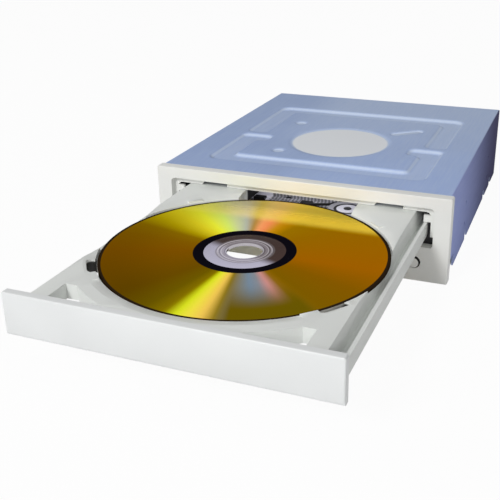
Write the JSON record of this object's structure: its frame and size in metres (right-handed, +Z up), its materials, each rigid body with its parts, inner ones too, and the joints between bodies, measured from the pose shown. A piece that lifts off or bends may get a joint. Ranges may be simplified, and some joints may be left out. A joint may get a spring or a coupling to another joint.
{
  "type": "internal optical disc drive",
  "caption": "Internal half-height optical disc writer with an ejected motorised tray that holds a disc.",
  "frame": {"origin": "centre of the four bottom mounting holes, on the drive's underside", "axes": "+X to the drive's right seen from the front, +Y from the front towards the connectors, +Z up"},
  "size_m": [0.1484, 0.3023, 0.042],
  "materials": {
    "steel_lid": "satin zinc-plated sheet with a bluish sheen",
    "steel_pan": "zinc-plated sheet",
    "screw_steel": "bright turned steel",
    "bezel_plastic": "finely textured ivory plastic",
    "tray_plastic": "light grey moulded plastic",
    "disc_mirror": "gold mirror layer under clear plastic, with a clear hub",
    "gear_plastic": "slick white plastic",
    "white_plastic": "white connector plastic",
    "black_plastic": "black moulded plastic",
    "lens_clear": "clear",
    "board_green": "green board lacquer",
    "motor_steel": "drawn steel can",
    "belt_rubber": "black rubber",
    "pickup_metal": "cast light metal"
  },
  "bodies": {
    "drive": {"top_cover": "steel_lid", "bottom_pan": "steel_pan", "pan_screws": "screw_steel", "front_bezel": "bezel_plastic", "led_lens": "lens_clear", "eject_switch": "black_plastic", "status_led": "lens_clear", "front_board": "board_green", "loading_motor": "motor_steel", "drive_belt": "belt_rubber", "left_rail": "black_plastic", "right_rail": "black_plastic", "gear_deck": "black_plastic", "rear_beam": "black_plastic", "clamp_bridge": "steel_pan", "main_board": "board_green", "board_chips": "black_plastic", "ide_connector": "black_plastic", "power_connector": "white_plastic", "audio_connector": "black_plastic", "jumper_block": "black_plastic"},
    "tray": {"disc_tray": "tray_plastic", "tray_front": "bezel_plastic", "disc": "disc_mirror"},
    "eject_key": {"eject_button": "bezel_plastic"},
    "loading_gear": {"tray_gear": "gear_plastic"},
    "pulley": {"pulley_gear": "gear_plastic"},
    "shaft": {"motor_pulley": "gear_plastic"},
    "slider": {"cam_slider": "gear_plastic"},
    "traverse": {"traverse_frame": "black_plastic", "pivot_dampers": "belt_rubber", "spindle_motor": "motor_steel", "guide_rods": "screw_steel", "sled_motor": "motor_steel"},
    "platter": {"turntable": "motor_steel", "friction_pad": "belt_rubber"},
    "sled": {"optical_pickup": "pickup_metal", "objective_lens": "lens_clear"},
    "screw": {"lead_screw": "screw_steel"},
    "clamp": {"clamp_puck": "black_plastic", "clamp_plate": "steel_pan"}
  },
  "joints": [
    {"name": "tray_slide", "type": "slide", "parent": "drive", "child": "tray", "axis": [0, 1, 0], "range_m": [0, 0.131]},
    {"name": "eject_press", "type": "slide", "parent": "drive", "child": "eject_key", "axis": [0, 1, 0], "range_m": [0, 0.0012], "stiffness_N_per_m": 250},
    {"name": "loading_gear_spin", "type": "hinge", "parent": "drive", "child": "loading_gear", "pos_m": [0.04, -0.06792, 0], "axis": [0, 0, 1], "range_deg": [-1, 640]},
    {"name": "pulley_spin", "type": "hinge", "parent": "drive", "child": "pulley", "pos_m": [0.019, -0.06792, 0], "axis": [0, 0, 1], "range_deg": [-1600, 2]},
    {"name": "shaft_spin", "type": "hinge", "parent": "drive", "child": "shaft", "pos_m": [-0.014, -0.07333, 0], "axis": [0, 0, 1], "range_deg": [-5400, 5]},
    {"name": "traverse_lift", "type": "hinge", "parent": "drive", "child": "traverse", "pos_m": [0, 0.06008, 0.0185], "axis": [-1, 0, 0], "range_deg": [0, 3.19]},
    {"name": "cam_slide", "type": "slide", "parent": "drive", "child": "slider", "axis": [-1, 0, 0], "range_m": [0, 0.01405]},
    {"name": "platter_spin", "type": "hinge", "parent": "traverse", "child": "platter", "pos_m": [0, -0.02088, 0.01549], "axis": [0, -0.0556, 0.9985], "continuous": true},
    {"name": "sled_travel", "type": "slide", "parent": "traverse", "child": "sled", "axis": [0, 0.9985, 0.0556], "range_m": [0, 0.033]},
    {"name": "lead_screw_spin", "type": "hinge", "parent": "traverse", "child": "screw", "pos_m": [0.0365, 0.02801, 0.01882], "axis": [0, 0.9985, 0.0556], "range_deg": [0, 3965]},
    {"name": "clamp_spin", "type": "hinge", "parent": "drive", "child": "clamp", "pos_m": [0, -0.02092, 0.037], "axis": [0, 0, 1], "continuous": true}
  ],
  "couplings": [
    {"joint": "loading_gear_spin", "follows": "tray_slide", "rad_per_m": 83.333},
    {"joint": "pulley_spin", "follows": "tray_slide", "rad_per_m": -208.33},
    {"joint": "shaft_spin", "follows": "tray_slide", "rad_per_m": -694.44},
    {"joint": "cam_slide", "follows": "traverse_lift", "m_per_rad": 0.25145},
    {"joint": "lead_screw_spin", "follows": "sled_travel", "rad_per_m": 2094.4}
  ]
}
